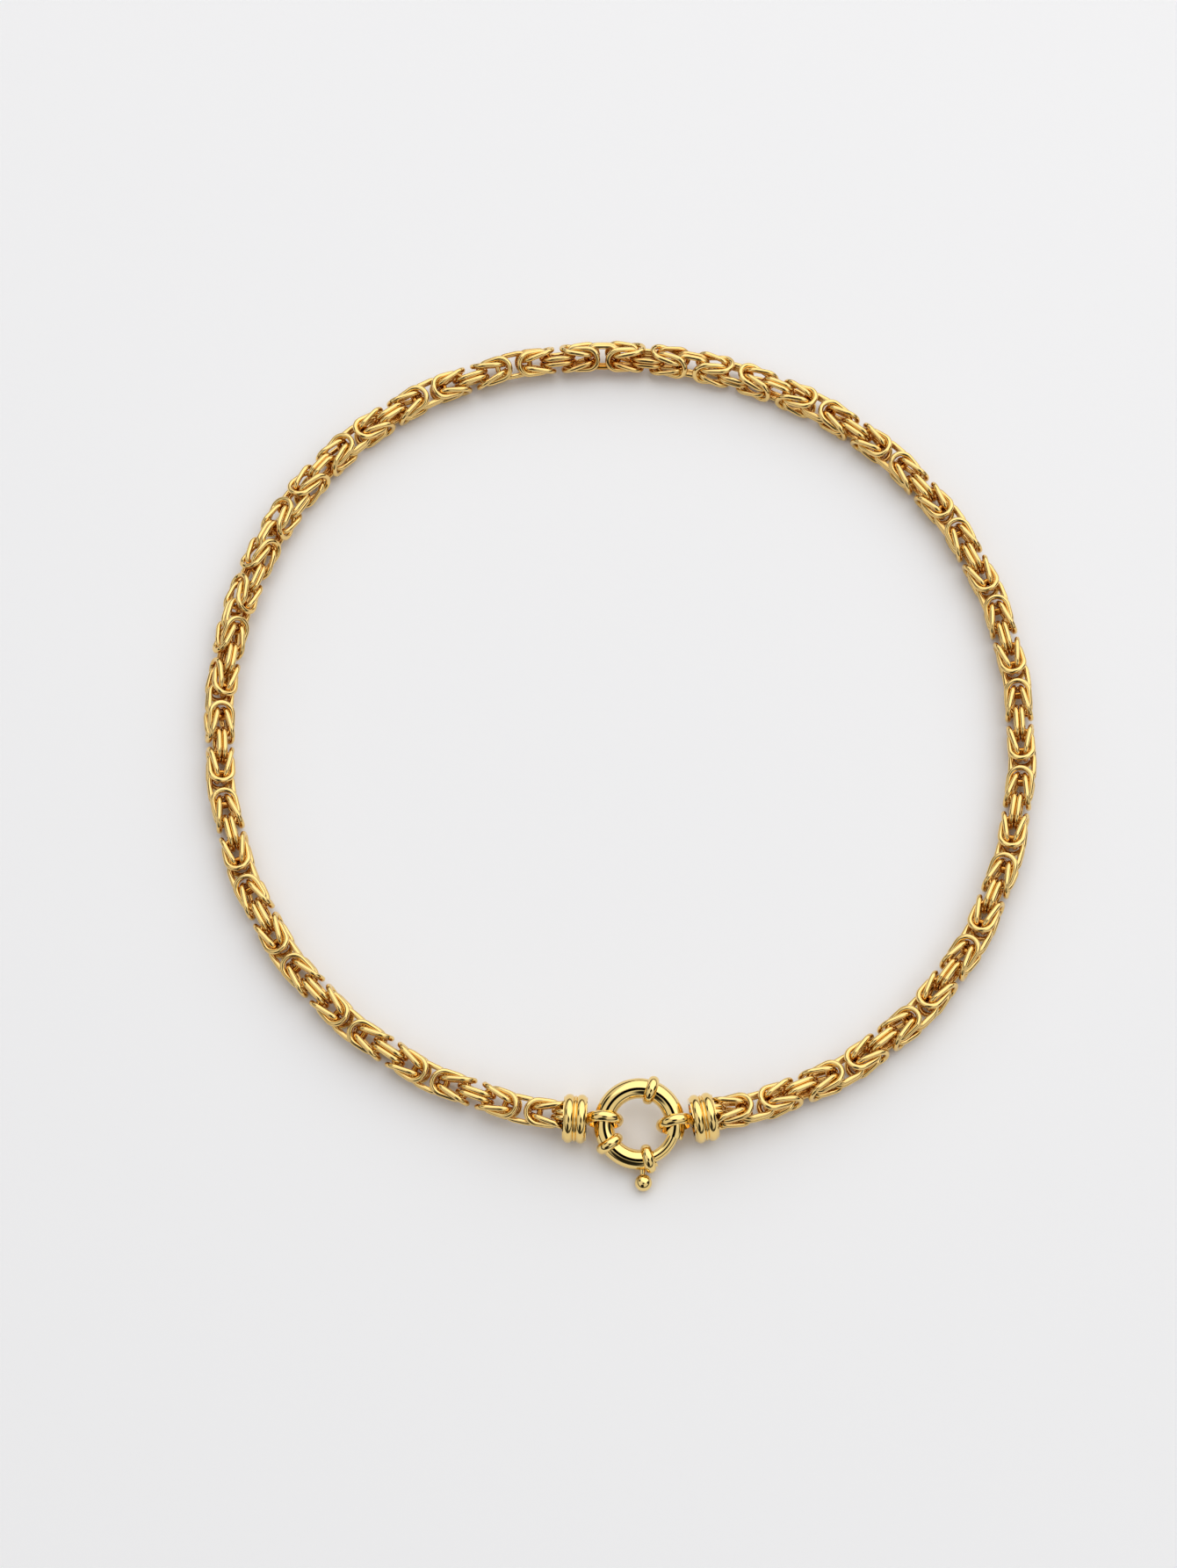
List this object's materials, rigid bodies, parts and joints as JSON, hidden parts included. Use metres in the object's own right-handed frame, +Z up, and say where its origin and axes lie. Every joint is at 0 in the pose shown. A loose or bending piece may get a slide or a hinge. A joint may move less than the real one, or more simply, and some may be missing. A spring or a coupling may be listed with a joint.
{
  "type": "chain necklace",
  "caption": "Byzantine chain necklace of interlinked wire rings, closed by a spring bolt-ring clasp between ribbed end caps.",
  "frame": {"origin": "centre of the chain loop, on the surface that the necklace lies on", "axes": "+Z up from the surface, +Y from the clasp across the loop to its far side, +X to the right with the clasp at the front"},
  "size_m": [0.145, 0.1583, 0.0081],
  "materials": {
    "chain_gold": "polished yellow gold colour",
    "clasp_gold": "mirror-polished yellow gold colour",
    "cap_gold": "polished yellow gold colour",
    "spring_steel": "drawn wire"
  },
  "bodies": {
    "left_end": {"left_bail": "cap_gold", "left_cap": "cap_gold", "left_end_links": "chain_gold", "links_00": "chain_gold"},
    "clasp": {"clasp_tube": "clasp_gold", "spring_stop": "clasp_gold", "clasp_spring": "spring_steel", "top_collar": "clasp_gold", "gate_collar": "clasp_gold", "lower_collar": "clasp_gold"},
    "bolt": {"clasp_bolt": "clasp_gold", "thumb_knob": "clasp_gold"},
    "chain_01": {"links_01": "chain_gold"},
    "chain_02": {"links_02": "chain_gold"},
    "chain_03": {"links_03": "chain_gold"},
    "chain_04": {"links_04": "chain_gold"},
    "chain_05": {"links_05": "chain_gold"},
    "chain_06": {"links_06": "chain_gold"},
    "chain_07": {"links_07": "chain_gold"},
    "chain_08": {"links_08": "chain_gold"},
    "chain_09": {"links_09": "chain_gold"},
    "chain_10": {"links_10": "chain_gold"},
    "chain_11": {"links_11": "chain_gold"},
    "chain_12": {"links_12": "chain_gold"},
    "chain_13": {"links_13": "chain_gold"},
    "chain_14": {"links_14": "chain_gold"},
    "chain_15": {"links_15": "chain_gold"},
    "chain_16": {"links_16": "chain_gold"},
    "chain_17": {"links_17": "chain_gold"},
    "chain_18": {"links_18": "chain_gold"},
    "chain_19": {"links_19": "chain_gold"},
    "chain_20": {"links_20": "chain_gold"},
    "chain_21": {"links_21": "chain_gold"},
    "chain_22": {"links_22": "chain_gold"},
    "chain_23": {"links_23": "chain_gold"},
    "right_end": {"links_24": "chain_gold", "right_end_links": "chain_gold", "right_cap": "cap_gold", "right_bail": "cap_gold"}
  },
  "joints": [
    {"name": "clasp_swing", "type": "hinge", "parent": "left_end", "child": "clasp", "pos_m": [-0.00579, -0.07163, 0.0043], "axis": [0.9962, -0.0838, -0.0238], "range_deg": [-36, 3]},
    {"name": "bolt_draw", "type": "hinge", "parent": "clasp", "child": "bolt", "pos_m": [0, -0.07252, 0.00405], "axis": [0, -0.2734, 0.9619], "range_deg": [-44, 0], "stiffness_Nm_per_rad": 0.002, "springref_deg": 28.65, "deforming": ["clasp_spring"]},
    {"name": "bend_01", "type": "hinge", "parent": "left_end", "child": "chain_01", "pos_m": [-0.01773, -0.06963, 0.00388], "axis": [0, 0, 1], "range_deg": [-5, 5]},
    {"name": "bend_02", "type": "hinge", "parent": "chain_01", "child": "chain_02", "pos_m": [-0.03298, -0.06359, 0.00288], "axis": [0, 0, 1], "range_deg": [-5, 5]},
    {"name": "bend_03", "type": "hinge", "parent": "chain_02", "child": "chain_03", "pos_m": [-0.04647, -0.05426, 0.00281], "axis": [0, 0, 1], "range_deg": [-5, 5]},
    {"name": "bend_04", "type": "hinge", "parent": "chain_03", "child": "chain_04", "pos_m": [-0.05735, -0.04199, 0.00281], "axis": [0, 0, 1], "range_deg": [-5, 5]},
    {"name": "bend_05", "type": "hinge", "parent": "chain_04", "child": "chain_05", "pos_m": [-0.06496, -0.02746, 0.00279], "axis": [0, 0, 1], "range_deg": [-5, 5]},
    {"name": "bend_06", "type": "hinge", "parent": "chain_05", "child": "chain_06", "pos_m": [-0.06908, -0.01157, 0.00276], "axis": [0, 0, 1], "range_deg": [-5, 5]},
    {"name": "bend_07", "type": "hinge", "parent": "chain_06", "child": "chain_07", "pos_m": [-0.06903, 0.013, 0.00306], "axis": [0, 0, 1], "range_deg": [-5, 5]},
    {"name": "bend_08", "type": "hinge", "parent": "chain_07", "child": "chain_08", "pos_m": [-0.06497, 0.0289, 0.00311], "axis": [0, 0, 1], "range_deg": [-5, 5]},
    {"name": "bend_09", "type": "hinge", "parent": "chain_08", "child": "chain_09", "pos_m": [-0.05756, 0.04353, 0.00293], "axis": [0, 0, 1], "range_deg": [-5, 5]},
    {"name": "bend_10", "type": "hinge", "parent": "chain_09", "child": "chain_10", "pos_m": [-0.04684, 0.05593, 0.00275], "axis": [0, 0, 1], "range_deg": [-5, 5]},
    {"name": "bend_11", "type": "hinge", "parent": "chain_10", "child": "chain_11", "pos_m": [-0.03329, 0.06517, 0.0028], "axis": [0, 0, 1], "range_deg": [-5, 5]},
    {"name": "bend_12", "type": "hinge", "parent": "chain_11", "child": "chain_12", "pos_m": [-0.01785, 0.07068, 0.00302], "axis": [0, 0, 1], "range_deg": [-5, 5]},
    {"name": "bend_13", "type": "hinge", "parent": "chain_12", "child": "chain_13", "pos_m": [0.01773, 0.06963, 0.00294], "axis": [0, 0, 1], "range_deg": [-5, 5]},
    {"name": "bend_14", "type": "hinge", "parent": "chain_13", "child": "chain_14", "pos_m": [0.03298, 0.06359, 0.00275], "axis": [0, 0, 1], "range_deg": [-5, 5]},
    {"name": "bend_15", "type": "hinge", "parent": "chain_14", "child": "chain_15", "pos_m": [0.04647, 0.05426, 0.00278], "axis": [0, 0, 1], "range_deg": [-5, 5]},
    {"name": "bend_16", "type": "hinge", "parent": "chain_15", "child": "chain_16", "pos_m": [0.05735, 0.04199, 0.00278], "axis": [0, 0, 1], "range_deg": [-5, 5]},
    {"name": "bend_17", "type": "hinge", "parent": "chain_16", "child": "chain_17", "pos_m": [0.06496, 0.02746, 0.00278], "axis": [0, 0, 1], "range_deg": [-5, 5]},
    {"name": "bend_18", "type": "hinge", "parent": "chain_17", "child": "chain_18", "pos_m": [0.06908, 0.01157, 0.00278], "axis": [0, 0, 1], "range_deg": [-5, 5]},
    {"name": "bend_19", "type": "hinge", "parent": "chain_18", "child": "chain_19", "pos_m": [0.06903, -0.013, 0.00278], "axis": [0, 0, 1], "range_deg": [-5, 5]},
    {"name": "bend_20", "type": "hinge", "parent": "chain_19", "child": "chain_20", "pos_m": [0.06497, -0.0289, 0.00278], "axis": [0, 0, 1], "range_deg": [-5, 5]},
    {"name": "bend_21", "type": "hinge", "parent": "chain_20", "child": "chain_21", "pos_m": [0.05756, -0.04353, 0.00278], "axis": [0, 0, 1], "range_deg": [-5, 5]},
    {"name": "bend_22", "type": "hinge", "parent": "chain_21", "child": "chain_22", "pos_m": [0.04684, -0.05593, 0.00278], "axis": [0, 0, 1], "range_deg": [-5, 5]},
    {"name": "bend_23", "type": "hinge", "parent": "chain_22", "child": "chain_23", "pos_m": [0.03329, -0.06517, 0.00285], "axis": [0, 0, 1], "range_deg": [-5, 5]},
    {"name": "bend_24", "type": "hinge", "parent": "chain_23", "child": "right_end", "pos_m": [0.01785, -0.07068, 0.00388], "axis": [0, 0, 1], "range_deg": [-5, 5]}
  ],
  "couplings": [
    {"joint": "bend_07", "follows": "bend_01", "ratio": -1},
    {"joint": "bend_13", "follows": "bend_01", "ratio": 1},
    {"joint": "bend_19", "follows": "bend_01", "ratio": -1},
    {"joint": "bend_08", "follows": "bend_02", "ratio": -1},
    {"joint": "bend_14", "follows": "bend_02", "ratio": 1},
    {"joint": "bend_20", "follows": "bend_02", "ratio": -1},
    {"joint": "bend_09", "follows": "bend_03", "ratio": -1},
    {"joint": "bend_15", "follows": "bend_03", "ratio": 1},
    {"joint": "bend_21", "follows": "bend_03", "ratio": -1},
    {"joint": "bend_10", "follows": "bend_04", "ratio": -1},
    {"joint": "bend_16", "follows": "bend_04", "ratio": 1},
    {"joint": "bend_22", "follows": "bend_04", "ratio": -1},
    {"joint": "bend_11", "follows": "bend_05", "ratio": -1},
    {"joint": "bend_17", "follows": "bend_05", "ratio": 1},
    {"joint": "bend_23", "follows": "bend_05", "ratio": -1},
    {"joint": "bend_12", "follows": "bend_06", "ratio": -1},
    {"joint": "bend_18", "follows": "bend_06", "ratio": 1},
    {"joint": "bend_24", "follows": "bend_06", "ratio": -1}
  ]
}
